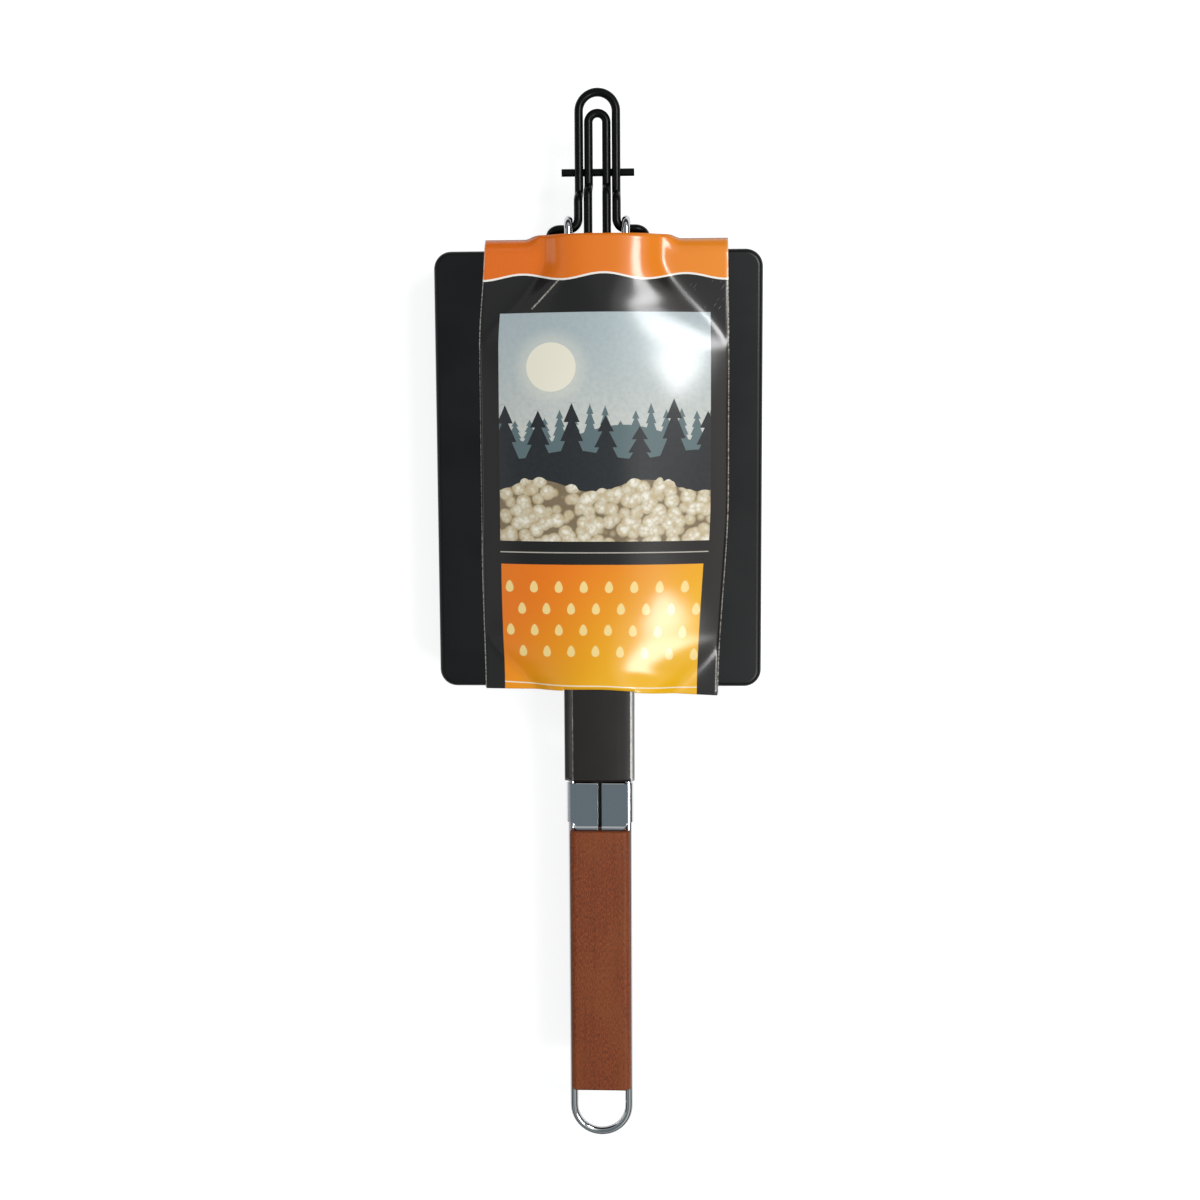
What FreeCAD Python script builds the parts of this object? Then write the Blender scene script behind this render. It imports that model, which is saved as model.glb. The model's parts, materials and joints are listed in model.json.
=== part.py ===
import FreeCAD, Part
import math
import os

# Campfire popcorn popper, folded for carrying: a drawn sheet pan that lies on its vented lid, two
# nested wire loops and a cross bar on one end wall, and a long wire handle with a wood grip that
# folds over the pan's bottom. A split sleeve slides along the handle and locks it when it is out.
# Millimetres. +X right, +Y from the grip towards the loops, +Z up from the lid to the pan's bottom.
# The origin is the middle of the lid's outer face.

# Pan
pan_width = 190.0
pan_length = 254.0
pan_depth = 48.0
pan_wall = 0.8
pan_corner_radius = 10.0
pan_edge_radius = 3.0
hem_height = 6.0
hem_thickness = 0.8

# Lid
lid_sheet = 0.7
lid_height = 8.0
lid_side_gap = 0.4
lid_rim_gap = 0.3
lid_edge_radius = 1.2
lid_inner_edge_radius = 0.5
vent_radius = 1.5
vent_pitch = 9.0
vent_field_x = 72.0
vent_field_y = 90.0
vent_offset_y = 18.0

# Lid hinges
hinge_from_end = 52.0
hinge_width = 40.0
leaf_thickness = 1.0
knuckle_radius = 2.5
hinge_pin_radius = 1.2
hinge_running_gap = 0.05
hinge_end_gap = 0.3
hinge_lip_gap = 0.5
pan_leaf_height = 14.0
pin_head_radius = 2.0
pin_head_length = 0.8
pan_leaf_rivet_height = 10.5
pan_leaf_rivet_spacing = 28.0
lid_leaf_rivet_height = 4.5
lid_leaf_rivet_spacing = 18.0

# Rivets
rivet_radius = 1.4
rivet_head_radius = 2.4
rivet_head_height = 1.0
rivet_tail_radius = 2.2
rivet_tail_height = 0.8

# Wire bracket on the end wall
bracket_wire_radius = 2.5
pivot_from_wall = 11.7
pivot_below_bottom = 1.2
strap_width = 72.0
strap_height = 21.0
strap_thickness = 1.5
strap_bottom = 15.0
strap_corner_radius = 3.0
strap_rivet_spacing_x = 33.0
strap_rivet_spacing_z = 11.0
weld_gap = 0.02
weld_end_above_strap = 2.0
shoulder_x = 27.5
shoulder_dip_angle = 50.0
shoulder_bend_radius = 5.9
strap_bend_radius = 6.0
outer_leg_x = 11.0
outer_loop_x = 10.7
outer_loop_reach = 80.0
outer_joggle_at = 18.8
inner_leg_x = 5.35
inner_loop_x = 5.15
inner_loop_reach = 68.3
inner_joggle_at = 22.8
inner_strap_bend_radius = 6.0
joggle_angle = 60.0
joggle_bend_radius = 4.0

# Cross bar that stops the opened handle
bar_radius = 2.2
bar_length = 42.0
bar_at = 33.2

# Handle
rod_radius = 2.45
rod_x = 16.5
eye_gap = 0.25
hanging_loop_length = 30.8

# Wood grip
grip_sleeve_gap = 0.4
grip_length = 159.0
grip_half_width = 17.9
grip_thickness = 16.0
grip_edge_radius = 4.0
grip_end_radius = 1.2
groove_gap = 0.05

# Sliding sleeve
sleeve_sheet = 0.8
sleeve_side_gap = 0.15
sleeve_height_gap = 0.2
sleeve_corner_radius = 3.3
sleeve_past_pan = 57.1
sleeve_length = 23.3
sleeve_slot_width = 3.0
flap_outer_x = 16.0
flap_length = 4.3
flap_lip_length = 2.0
flap_lip_rise = 1.2
flap_corner_radius = 3.0

# Card sleeve
card_sheet = 0.5
card_half_width = 70.0
card_top_past_wall = 8.3
card_bottom_past_wall = 2.4
card_edge_gap = 0.4
card_offset_x = 3.0
card_crown_above_tongue = 1.8
card_end_lip_height = 16.0

# Card tongue round the handle
tongue_sleeve_gap = 0.3
tongue_fold_x = 17.1
tongue_half_width = 20.7
tongue_grip_gap = 0.4
tongue_shoulder_drop = 4.0
tongue_side_bottom = 2.8
tongue_side_gap = 0.4

# Lengths that differ by less than this are equal
same_length = 1e-6

# Levels and places that follow from the sizes above
rim_z = lid_sheet + lid_rim_gap
bottom_z = rim_z + pan_depth
wall_x = pan_width / 2
wall_y = pan_length / 2
lip_inner_x = wall_x + lid_side_gap
lip_outer_x = lip_inner_x + lid_sheet
lip_outer_y = wall_y + lid_side_gap + lid_sheet
pivot_y = wall_y + pivot_from_wall
pivot_z = bottom_z - pivot_below_bottom
eye_radius = bracket_wire_radius + eye_gap + rod_radius
rod_z = pivot_z + eye_radius
loop_z = pivot_z - eye_radius
strap_face_y = wall_y + strap_thickness
strap_wire_y = strap_face_y + weld_gap + bracket_wire_radius
strap_top = strap_bottom + strap_height
hinge_x = -(wall_x + knuckle_radius)
hinge_z = lid_height + hinge_lip_gap + knuckle_radius
hinge_centres = (hinge_from_end - wall_y, wall_y - hinge_from_end)
vent_columns = int((vent_field_x + same_length) // vent_pitch)
vent_rows = int((vent_field_y + same_length) // vent_pitch)
sleeve_start = pivot_from_wall + pan_length + sleeve_past_pan
grip_start = sleeve_start + sleeve_length + flap_length + grip_sleeve_gap
handle_reach = grip_start + grip_length + hanging_loop_length
tongue_end = sleeve_start - tongue_sleeve_gap
sleeve_half_width = rod_x + rod_radius + sleeve_side_gap + sleeve_sheet
sleeve_half_height = bracket_wire_radius + sleeve_height_gap + sleeve_sheet
tongue_top_z = rod_z + grip_thickness / 2 + tongue_grip_gap + card_sheet
card_edge_z = bottom_z + card_edge_gap
card_crown_z = tongue_top_z + card_crown_above_tongue
card_low_y = -(wall_y + card_bottom_past_wall)
card_high_y = wall_y + card_top_past_wall
card_left_x = card_offset_x - card_half_width
card_right_x = card_offset_x + card_half_width

X = FreeCAD.Vector(1, 0, 0)
Y = FreeCAD.Vector(0, 1, 0)
Z = FreeCAD.Vector(0, 0, 1)


def vec(x, y, z):
    return FreeCAD.Vector(x, y, z)


def block(low, high):
    """A box from its lowest corner to its highest corner."""
    size = high - low
    return Part.makeBox(size.x, size.y, size.z, low)


def cylinder(radius, start, end):
    """A round bar between two points."""
    along = end - start
    return Part.makeCylinder(radius, along.Length, start, along)


def spaced(count, pitch):
    """Places at one pitch, centred on zero."""
    first = (pitch - count * pitch) / 2
    return [first + index * pitch for index in range(count)]


def edges_along(shape, direction):
    """The straight edges that run along one direction."""
    found = []
    for edge in shape.Edges:
        if edge.Curve.TypeId != "Part::GeomLine":
            continue
        run = edge.Vertexes[1].Point - edge.Vertexes[0].Point
        if run.normalize().cross(direction).Length < same_length:
            found.append(edge)
    return found


def edges_at_level(shape, level):
    """The edges that lie wholly at one height."""
    found = []
    for edge in shape.Edges:
        box = edge.BoundBox
        if abs(box.ZMin - level) < same_length and abs(box.ZMax - level) < same_length:
            found.append(edge)
    return found


def round_corner_block(low, high, corner_radius):
    """A box with its four upright corners rounded."""
    body = block(low, high)
    return body.makeFillet(corner_radius, edges_along(body, Z))


def bent_wire(points, bend_radii, wire_radius):
    """A round wire through straight runs, with a bend of the given radius at each inner point."""
    edges = []
    start = points[0]
    for index, bend_radius in enumerate(bend_radii, 1):
        corner = points[index]
        back = (points[index - 1] - corner).normalize()
        ahead = (points[index + 1] - corner).normalize()
        turn = math.pi - back.getAngle(ahead)
        setback = bend_radius * math.tan(turn / 2)
        bend_start = corner + back * setback
        bend_end = corner + ahead * setback
        to_centre = (back + ahead).normalize()
        centre_distance = bend_radius / math.cos(turn / 2)
        middle = corner + to_centre * (centre_distance - bend_radius)
        if (bend_start - start).Length > same_length:
            edges.append(Part.LineSegment(start, bend_start).toShape())
        else:
            bend_start = start
        edges.append(Part.Arc(bend_start, middle, bend_end).toShape())
        start = bend_end
    if (points[-1] - start).Length > same_length:
        edges.append(Part.LineSegment(start, points[-1]).toShape())
    path = Part.Wire(edges)
    direction = edges[0].tangentAt(edges[0].FirstParameter)
    section = Part.Wire(Part.makeCircle(wire_radius, points[0], direction))
    wire = path.makePipeShell([section], True, False)
    expected = math.pi * wire_radius ** 2 * path.Length
    print("wire length %.1f mm, volume ratio %.4f" % (path.Length, wire.Volume / expected))
    return wire


def mirrored(points):
    """The same points on the other side of the middle plane, in reverse order."""
    return [vec(-point.x, point.y, point.z) for point in reversed(points)]


def rivet(face_point, outward, grip, with_tail=True):
    """A domed rivet: its head sits on face_point and its shank goes in by grip."""
    sphere_radius = (rivet_head_radius ** 2 + rivet_head_height ** 2) / (2 * rivet_head_height)
    half_angle = math.asin(rivet_head_radius / sphere_radius) / 2
    mid_x = sphere_radius * math.sin(half_angle)
    mid_z = rivet_head_height - sphere_radius * (1 - math.cos(half_angle))
    corners = [vec(rivet_head_radius, 0, 0), vec(rivet_radius, 0, 0), vec(rivet_radius, 0, -grip)]
    if with_tail:
        tail_z = -grip - rivet_tail_height
        corners += [vec(rivet_tail_radius, 0, -grip), vec(rivet_tail_radius, 0, tail_z), vec(0, 0, tail_z)]
    else:
        corners.append(vec(0, 0, -grip))
    corners.append(vec(0, 0, rivet_head_height))
    dome = Part.Arc(corners[-1], vec(mid_x, 0, mid_z), corners[0]).toShape()
    outline = [Part.LineSegment(a, b).toShape() for a, b in zip(corners, corners[1:])]
    profile = Part.Face(Part.Wire(outline + [dome]))
    body = profile.revolve(vec(0, 0, 0), Z, 360)
    body.Placement = FreeCAD.Placement(face_point, FreeCAD.Rotation(Z, outward))
    return body


def pan_leaf_rivet_points():
    """Where the rivets of the pan's hinge leaves sit, on the leaves' outer faces."""
    level = hinge_z + pan_leaf_rivet_height
    face_x = -(wall_x + leaf_thickness)
    return [
        vec(face_x, centre + side * pan_leaf_rivet_spacing / 2, level)
        for centre in hinge_centres
        for side in (-1, 1)
    ]


def lid_leaf_rivet_points():
    """Where the rivets of the lid's hinge leaves sit, on the leaves' outer faces."""
    face_x = -(lip_outer_x + leaf_thickness)
    return [
        vec(face_x, centre + side * lid_leaf_rivet_spacing / 2, lid_leaf_rivet_height)
        for centre in hinge_centres
        for side in (-1, 1)
    ]


def strap_rivet_points():
    """Where the strap's rivets sit, on its outer face."""
    middle_z = strap_bottom + strap_height / 2
    return [
        vec(side * strap_rivet_spacing_x / 2, strap_face_y, middle_z + level * strap_rivet_spacing_z / 2)
        for side in (-1, 1)
        for level in (-1, 1)
    ]


def rivet_holes(points, inward, depth):
    """Round holes for the shanks of rivets that go in from these points."""
    return Part.makeCompound([cylinder(rivet_radius, point, point + inward * depth) for point in points])


def make_pan_shell():
    """The drawn pan, mouth down, with its rim folded inwards as a hem."""
    outer = round_corner_block(vec(-wall_x, -wall_y, rim_z), vec(wall_x, wall_y, bottom_z), pan_corner_radius)
    outer = outer.makeFillet(pan_edge_radius, edges_at_level(outer, bottom_z))
    inside_x = wall_x - pan_wall
    inside_y = wall_y - pan_wall
    inside_top = bottom_z - pan_wall
    inside_corner = pan_corner_radius - pan_wall
    inner = round_corner_block(vec(-inside_x, -inside_y, rim_z), vec(inside_x, inside_y, inside_top), inside_corner)
    inner = inner.makeFillet(pan_edge_radius - pan_wall, edges_at_level(inner, inside_top))
    hem_top = rim_z + hem_height
    hem_x = inside_x - hem_thickness
    hem_y = inside_y - hem_thickness
    hem_corner = inside_corner - hem_thickness
    hem = round_corner_block(vec(-inside_x, -inside_y, rim_z), vec(inside_x, inside_y, hem_top), inside_corner)
    mouth = round_corner_block(vec(-hem_x, -hem_y, rim_z), vec(hem_x, hem_y, hem_top), hem_corner)
    shell = outer.cut(inner).fuse(hem.cut(mouth)).removeSplitter()
    shell = shell.cut(rivet_holes(strap_rivet_points(), -Y, strap_thickness + 2 * pan_wall))
    return shell.cut(rivet_holes(pan_leaf_rivet_points(), X, leaf_thickness + 2 * pan_wall))


def make_lid_panel():
    """The lid: a shallow tray round the pan's rim, with a field of small round vents."""
    outer_corner = pan_corner_radius + lid_side_gap + lid_sheet
    outer = round_corner_block(
        vec(-lip_outer_x, -lip_outer_y, 0), vec(lip_outer_x, lip_outer_y, lid_height), outer_corner
    )
    outer = outer.makeFillet(lid_edge_radius, edges_at_level(outer, 0))
    inside_x = lip_inner_x
    inside_y = lip_outer_y - lid_sheet
    inner = round_corner_block(
        vec(-inside_x, -inside_y, lid_sheet), vec(inside_x, inside_y, lid_height), outer_corner - lid_sheet
    )
    inner = inner.makeFillet(lid_inner_edge_radius, edges_at_level(inner, lid_sheet))
    vents = []
    for x in spaced(vent_columns, vent_pitch):
        for y in spaced(vent_rows, vent_pitch):
            foot = vec(x, y + vent_offset_y, 0)
            vents.append(cylinder(vent_radius, foot, foot + Z * lid_sheet))
    panel = outer.cut(inner).cut(Part.makeCompound(vents))
    return panel.cut(rivet_holes(lid_leaf_rivet_points(), X, leaf_thickness + lid_sheet))


def knuckle_spans(centre):
    """The stretches of one hinge along Y: the pan's end knuckles and the lid's middle knuckle."""
    third = hinge_width / 3
    low = centre - hinge_width / 2
    high = centre + hinge_width / 2
    half_gap = hinge_end_gap / 2
    lid_span = (low + third + half_gap, high - third - half_gap)
    pan_spans = ((low, low + third - half_gap), (high - third + half_gap, high))
    return pan_spans, lid_span


def knuckle(span):
    return cylinder(knuckle_radius, vec(hinge_x, span[0], hinge_z), vec(hinge_x, span[1], hinge_z))


def hinge_bore(centre, radius):
    half = hinge_width
    return cylinder(radius, vec(hinge_x, centre - half, hinge_z), vec(hinge_x, centre + half, hinge_z))


def make_pan_hinge_leaf(centre):
    """The leaf on the pan's side wall, with a knuckle at each end."""
    pan_spans, lid_span = knuckle_spans(centre)
    low = vec(-(wall_x + leaf_thickness), centre - hinge_width / 2, hinge_z)
    high = vec(-wall_x, centre + hinge_width / 2, hinge_z + pan_leaf_height)
    leaf = block(low, high)
    clear_top = hinge_z + knuckle_radius + hinge_end_gap
    notch_low = vec(low.x, pan_spans[0][1], hinge_z)
    notch_high = vec(high.x, pan_spans[1][0], clear_top)
    leaf = leaf.cut(block(notch_low, notch_high))
    for span in pan_spans:
        leaf = leaf.fuse(knuckle(span))
    leaf = leaf.cut(hinge_bore(centre, hinge_pin_radius)).removeSplitter()
    return leaf.cut(rivet_holes(pan_leaf_rivet_points(), X, leaf_thickness))


def make_lid_hinge_leaf(centre):
    """The leaf on the lid's lip, with one knuckle in its middle."""
    lid_span = knuckle_spans(centre)[1]
    face_x = -(lip_outer_x + leaf_thickness)
    foot_z = lid_edge_radius + hinge_end_gap
    leaf_top = hinge_z - knuckle_radius - hinge_lip_gap
    low = vec(face_x, centre - hinge_width / 2, foot_z)
    high = vec(-lip_outer_x, centre + hinge_width / 2, leaf_top)
    neck_low = vec(face_x, lid_span[0], leaf_top)
    neck_high = vec(-lip_outer_x, lid_span[1], hinge_z)
    leaf = block(low, high).fuse(block(neck_low, neck_high)).fuse(knuckle(lid_span))
    leaf = leaf.cut(hinge_bore(centre, hinge_pin_radius + hinge_running_gap)).removeSplitter()
    return leaf.cut(rivet_holes(lid_leaf_rivet_points(), X, leaf_thickness))


def make_hinge_pin(centre):
    """A hinge pin with a small head at each end."""
    low = vec(hinge_x, centre - hinge_width / 2, hinge_z)
    high = vec(hinge_x, centre + hinge_width / 2, hinge_z)
    pin = cylinder(hinge_pin_radius, low, high)
    head_low = cylinder(pin_head_radius, low - Y * pin_head_length, low)
    head_high = cylinder(pin_head_radius, high, high + Y * pin_head_length)
    return pin.fuse(head_low).fuse(head_high)


def make_end_strap():
    """The plate on the pan's end wall that the bracket wires are welded to."""
    low = vec(-strap_width / 2, wall_y, strap_bottom)
    high = vec(strap_width / 2, strap_face_y, strap_top)
    plate = block(low, high)
    plate = plate.makeFillet(strap_corner_radius, edges_along(plate, Y))
    return plate.cut(rivet_holes(strap_rivet_points(), -Y, strap_thickness))


def joggle(leg_x, loop_x, joggle_at):
    """The two corners where a leg steps down from the pivot's level to the loop's level."""
    half_run = (pivot_z - loop_z) / (2 * math.tan(math.radians(joggle_angle)))
    lower = vec(leg_x, pivot_y + joggle_at - half_run, pivot_z)
    upper = vec(loop_x, pivot_y + joggle_at + half_run, loop_z)
    return lower, upper


def make_outer_loop():
    """The outer bracket wire: up the end wall, out along the shoulder and round the loop."""
    dip = math.tan(math.radians(shoulder_dip_angle))
    foot = vec(shoulder_x, strap_wire_y, strap_bottom + weld_end_above_strap)
    wall_bend = vec(shoulder_x, strap_wire_y, pivot_z - (pivot_y - strap_wire_y) * dip)
    shoulder_end = vec(shoulder_x, pivot_y, pivot_z)
    leg_start = vec(outer_leg_x, pivot_y, pivot_z)
    lower, upper = joggle(outer_leg_x, outer_loop_x, outer_joggle_at)
    tip = vec(outer_loop_x, pivot_y + outer_loop_reach - bracket_wire_radius, loop_z)
    half = [foot, wall_bend, shoulder_end, leg_start, lower, upper, tip]
    half_bends = [
        strap_bend_radius,
        shoulder_bend_radius,
        shoulder_bend_radius,
        joggle_bend_radius,
        joggle_bend_radius,
        outer_loop_x,
    ]
    return bent_wire(half + mirrored(half), half_bends + half_bends[::-1], bracket_wire_radius)


def make_inner_loop():
    """The inner bracket wire: up the end wall and straight on to its narrow loop."""
    foot = vec(inner_leg_x, strap_wire_y, strap_bottom + weld_end_above_strap)
    wall_bend = vec(inner_leg_x, strap_wire_y, pivot_z)
    lower, upper = joggle(inner_leg_x, inner_loop_x, inner_joggle_at)
    tip = vec(inner_loop_x, pivot_y + inner_loop_reach - bracket_wire_radius, loop_z)
    half = [foot, wall_bend, lower, upper, tip]
    half_bends = [inner_strap_bend_radius, joggle_bend_radius, joggle_bend_radius, inner_loop_x]
    return bent_wire(half + mirrored(half), half_bends + half_bends[::-1], bracket_wire_radius)


def make_cross_bar():
    """The short bar under both loops, whose ends stop the handle's rods."""
    y = pivot_y + bar_at
    z = loop_z - bracket_wire_radius - weld_gap - bar_radius
    return cylinder(bar_radius, vec(-bar_length / 2, y, z), vec(bar_length / 2, y, z))


def make_handle_wire():
    """One long wire: an eye round each shoulder, two rods and the hanging loop that joins them."""
    end_y = pivot_y - handle_reach + rod_radius
    half = [
        vec(rod_x, pivot_y - eye_radius, pivot_z),
        vec(rod_x, pivot_y - eye_radius, loop_z),
        vec(rod_x, pivot_y + eye_radius, loop_z),
        vec(rod_x, pivot_y + eye_radius, rod_z),
        vec(rod_x, end_y, rod_z),
    ]
    half_bends = [eye_radius, eye_radius, eye_radius, rod_x]
    return bent_wire(half + mirrored(half), half_bends + half_bends[::-1], rod_radius)


def make_wood_grip():
    """The wood grip, with a groove in each edge that holds a rod."""
    start_y = pivot_y - grip_start
    end_y = start_y - grip_length
    half_thick = grip_thickness / 2
    body = block(vec(-grip_half_width, end_y, rod_z - half_thick), vec(grip_half_width, start_y, rod_z + half_thick))
    body = body.makeFillet(grip_edge_radius, edges_along(body, Y))
    end_edges = [
        edge
        for edge in body.Edges
        if edge.BoundBox.YLength < same_length
    ]
    body = body.makeFillet(grip_end_radius, end_edges)
    for side in (-1, 1):
        low = vec(side * rod_x, end_y - rod_radius, rod_z)
        high = vec(side * rod_x, start_y + rod_radius, rod_z)
        body = body.cut(cylinder(rod_radius + groove_gap, low, high))
    return body


def sleeve_tube(half_width, half_height, corner_radius, start_y, length):
    """A flat tube with rounded sides, centred on the rods' level."""
    body = block(
        vec(-half_width, start_y - length, rod_z - half_height), vec(half_width, start_y, rod_z + half_height)
    )
    return body.makeFillet(corner_radius, edges_along(body, Y))


def sleeve_flap(inner_x, lip_rise):
    """The right half of a flap that carries on past the sleeve, with its far end turned up by lip_rise."""
    start_y = pivot_y - sleeve_start - sleeve_length
    plate_low = rod_z + sleeve_half_height - sleeve_sheet
    plate_high = rod_z + sleeve_half_height
    bend_y = start_y - flap_length + flap_lip_length
    end_y = start_y - flap_length
    outline = [
        vec(inner_x, start_y + flap_corner_radius, plate_low),
        vec(inner_x, bend_y, plate_low),
        vec(inner_x, end_y, plate_low + lip_rise),
        vec(inner_x, end_y, plate_high + lip_rise),
        vec(inner_x, bend_y, plate_high),
        vec(inner_x, start_y + flap_corner_radius, plate_high),
    ]
    flap = Part.Face(Part.makePolygon(outline + outline[:1])).extrude(X * (flap_outer_x - inner_x))
    plan = block(
        vec(inner_x, end_y, plate_low), vec(flap_outer_x, start_y + flap_corner_radius, plate_high + lip_rise)
    )
    far_corners = [
        edge
        for edge in edges_along(plan, Z)
        if abs(edge.BoundBox.YMin - end_y) < same_length and edge.BoundBox.XMin > inner_x + same_length
    ]
    return flap.common(plan.makeFillet(flap_corner_radius, far_corners))


def make_sliding_sleeve():
    """The split sleeve that slides along both rods."""
    start_y = pivot_y - sleeve_start
    outer = sleeve_tube(sleeve_half_width, sleeve_half_height, sleeve_corner_radius, start_y, sleeve_length)
    inner = sleeve_tube(
        sleeve_half_width - sleeve_sheet,
        sleeve_half_height - sleeve_sheet,
        sleeve_corner_radius - sleeve_sheet,
        start_y,
        sleeve_length,
    )
    slot = block(
        vec(-sleeve_slot_width / 2, start_y - sleeve_length, rod_z),
        vec(sleeve_slot_width / 2, start_y, rod_z + sleeve_half_height),
    )
    sleeve = outer.cut(inner).cut(slot)
    front_flap = sleeve_flap(sleeve_slot_width / 2, flap_lip_rise)
    back_flap = sleeve_flap(0, 0).mirror(vec(0, 0, rod_z), Z)
    for flap in (front_flap, back_flap):
        sleeve = sleeve.fuse(flap.cut(inner)).fuse(flap.mirror(vec(0, 0, 0), X).cut(inner))
    return sleeve.removeSplitter()


def card_arch(start_y, end_y, thickness):
    """A bowed slab over the pan, whose under side rises from the card's edges to its crown."""
    low_left = vec(card_left_x, start_y, card_edge_z)
    low_right = vec(card_right_x, start_y, card_edge_z)
    under = Part.Arc(low_left, vec(card_offset_x, start_y, card_crown_z), low_right).toShape()
    over = under.translated(Z * thickness)
    left = Part.LineSegment(low_left, low_left + Z * thickness).toShape()
    right = Part.LineSegment(low_right, low_right + Z * thickness).toShape()
    outline = Part.Wire(Part.sortEdges([under, right, over, left])[0])
    return Part.Face(outline).extrude(Y * (end_y - start_y))


def make_card_panel():
    """The bowed front of the card sleeve, with its end lip folded down over the pan's end wall."""
    sheet = card_arch(card_low_y, card_high_y, card_sheet)
    lip_low = card_edge_z + card_sheet - card_end_lip_height
    lip_end_y = card_low_y + card_sheet
    lip = block(vec(card_left_x, card_low_y, lip_low), vec(card_right_x, lip_end_y, card_crown_z))
    above = card_arch(card_low_y, lip_end_y, card_crown_z - card_edge_z)
    notch_x = tongue_half_width + tongue_side_gap
    notch = block(vec(-notch_x, card_low_y, lip_low), vec(notch_x, lip_end_y, tongue_top_z))
    return sheet.fuse(lip.cut(above).cut(notch)).removeSplitter()


def tongue_outline(y, inset):
    """The tongue's outline across the handle, moved in by inset."""
    top_z = tongue_top_z - inset
    shoulder_z = tongue_top_z - tongue_shoulder_drop - inset / 2
    foot_z = rod_z - tongue_side_bottom
    fold_x = tongue_fold_x - inset / 2
    side_x = tongue_half_width - inset
    right = [vec(fold_x, y, top_z), vec(side_x, y, shoulder_z), vec(side_x, y, foot_z)]
    return [vec(-point.x, y, point.z) for point in reversed(right)] + right


def make_card_tongue():
    """The folded tongue that runs on from the card along the handle, open underneath."""
    start_y = card_low_y + card_sheet
    end_y = pivot_y - tongue_end
    points = tongue_outline(start_y, 0)
    points += list(reversed(tongue_outline(start_y, card_sheet)))
    face = Part.Face(Part.makePolygon(points + points[:1]))
    return face.extrude(Y * (end_y - start_y))


def make_parts():
    parts = {
        "pan_shell": make_pan_shell(),
        "end_strap": make_end_strap(),
        "outer_loop": make_outer_loop(),
        "inner_loop": make_inner_loop(),
        "cross_bar": make_cross_bar(),
        "lid_panel": make_lid_panel(),
        "handle_wire": make_handle_wire(),
        "wood_grip": make_wood_grip(),
        "sliding_sleeve": make_sliding_sleeve(),
        "card_panel": make_card_panel(),
        "card_tongue": make_card_tongue(),
    }
    strap_grip = strap_thickness + pan_wall
    leaf_grip = leaf_thickness + pan_wall
    lip_grip = leaf_thickness + lid_sheet
    parts["strap_rivets"] = Part.makeCompound([rivet(point, Y, strap_grip) for point in strap_rivet_points()])
    parts["pan_hinge_rivets"] = Part.makeCompound([rivet(point, -X, leaf_grip) for point in pan_leaf_rivet_points()])
    parts["lid_hinge_rivets"] = Part.makeCompound(
        [rivet(point, -X, lip_grip, with_tail=False) for point in lid_leaf_rivet_points()]
    )
    for name, centre in zip(("near_grip", "near_loops"), hinge_centres):
        parts["pan_hinge_leaf_" + name] = make_pan_hinge_leaf(centre)
        parts["lid_hinge_leaf_" + name] = make_lid_hinge_leaf(centre)
        parts["hinge_pin_" + name] = make_hinge_pin(centre)
    return parts


def main():
    os.makedirs("parts", exist_ok=True)
    for name, shape in make_parts().items():
        box = shape.BoundBox
        spans = (box.XMin, box.XMax, box.YMin, box.YMax, box.ZMin, box.ZMax)
        print("%-28s solids %d valid %s volume %.1f" % (name, len(shape.Solids), shape.isValid(), shape.Volume))
        print("   x %.2f %.2f  y %.2f %.2f  z %.2f %.2f" % spans)
        shape.exportStep("parts/" + name + ".step")


main()
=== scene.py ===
import json
import math

import bmesh
import bpy
from mathutils import Euler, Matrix, Vector, noise as space_noise


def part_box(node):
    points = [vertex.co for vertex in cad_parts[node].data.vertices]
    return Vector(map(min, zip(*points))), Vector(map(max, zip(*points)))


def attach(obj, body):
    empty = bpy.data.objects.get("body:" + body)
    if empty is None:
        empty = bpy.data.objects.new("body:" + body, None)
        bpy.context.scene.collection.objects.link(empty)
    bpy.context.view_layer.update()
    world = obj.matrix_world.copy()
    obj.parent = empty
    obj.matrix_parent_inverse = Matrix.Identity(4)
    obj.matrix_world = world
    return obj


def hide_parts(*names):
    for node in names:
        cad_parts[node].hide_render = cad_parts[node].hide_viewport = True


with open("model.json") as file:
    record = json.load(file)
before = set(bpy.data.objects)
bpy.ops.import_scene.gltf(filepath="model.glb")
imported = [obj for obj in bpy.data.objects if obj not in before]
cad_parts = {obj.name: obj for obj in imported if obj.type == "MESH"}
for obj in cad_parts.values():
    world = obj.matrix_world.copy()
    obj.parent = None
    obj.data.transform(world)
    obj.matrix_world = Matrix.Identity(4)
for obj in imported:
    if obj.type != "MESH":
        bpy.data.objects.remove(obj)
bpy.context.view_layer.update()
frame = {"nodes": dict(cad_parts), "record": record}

# Looks of the folded campfire popcorn popper. Metres, in the row's frame: +X to the right, +Y from the
# grip towards the loops, +Z from the lid, which it lies on, to the pan's bottom.

MM = 0.001

# Camera, fitted to the outlines of the pan, the wires and the handle
CAMERA_PITCH = math.radians(6.36)
CAMERA_YAW = math.radians(-2.83)
CAMERA_ROLL = math.radians(0.31)
CAMERA_SHIFT = Vector((1.6 * MM, 80.5 * MM, -1.0))
CAMERA_FOCUS_PIXELS = 1631.6
IMAGE_PIXELS = 1200
SENSOR_WIDTH = 36.0

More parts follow.
